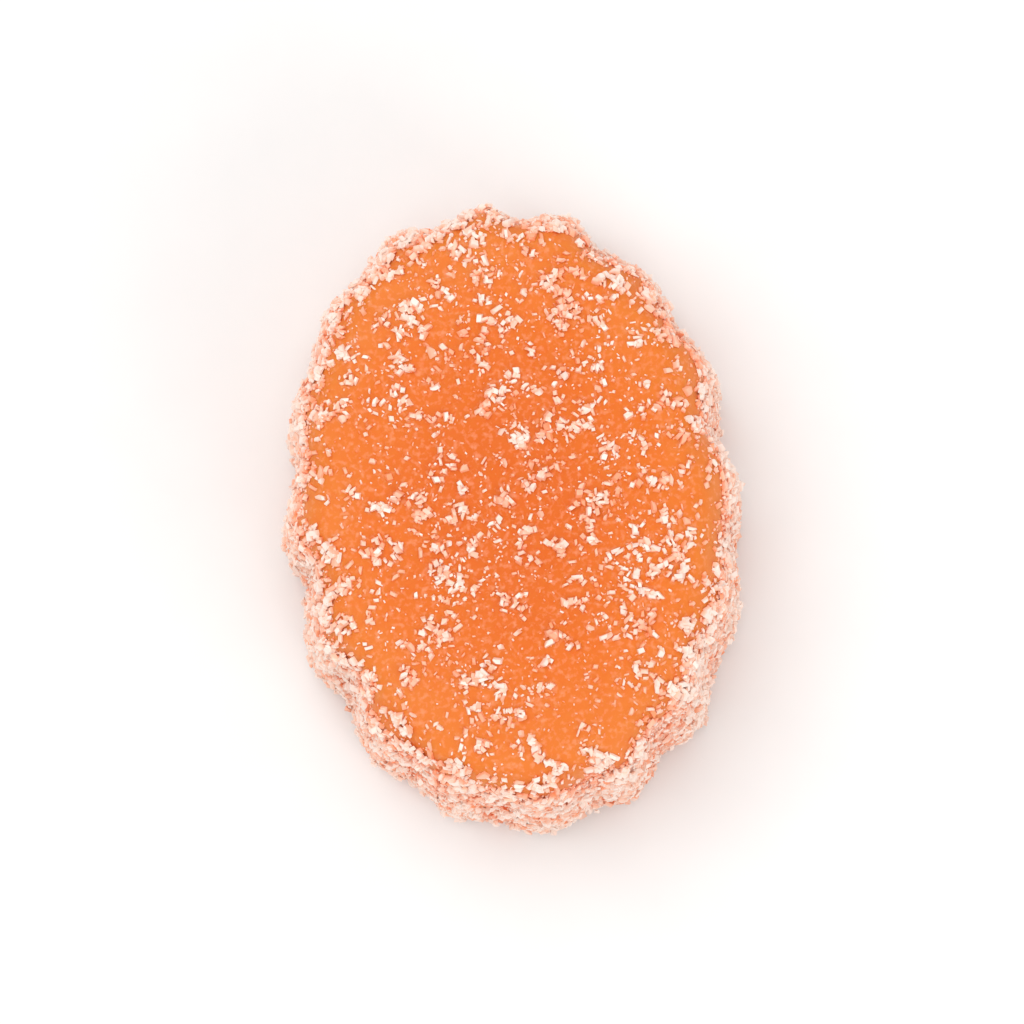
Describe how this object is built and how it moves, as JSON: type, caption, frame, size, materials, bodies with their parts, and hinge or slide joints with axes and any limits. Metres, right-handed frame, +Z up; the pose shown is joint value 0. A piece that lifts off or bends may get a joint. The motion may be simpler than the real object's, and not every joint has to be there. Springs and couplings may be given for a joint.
{
  "type": "sugared fruit jelly",
  "caption": "Oval fruit jelly sweet with fluted sides, a soft rounded shoulder and a nearly flat top, coated in sugar crystals.",
  "frame": {"origin": "middle of the flat base that the sweet rests on", "axes": "+Z up from the base to the face, +Y along the oval's length, +X across its width"},
  "size_m": [0.0236, 0.0316, 0.0135],
  "materials": {
    "jelly": "soft orange fruit jelly, smooth and slightly see-through",
    "sugar": "white granulated sugar, tinted by the jelly under it"
  },
  "bodies": {
    "root": {"jelly_sweet": "jelly"}
  },
  "joints": []
}
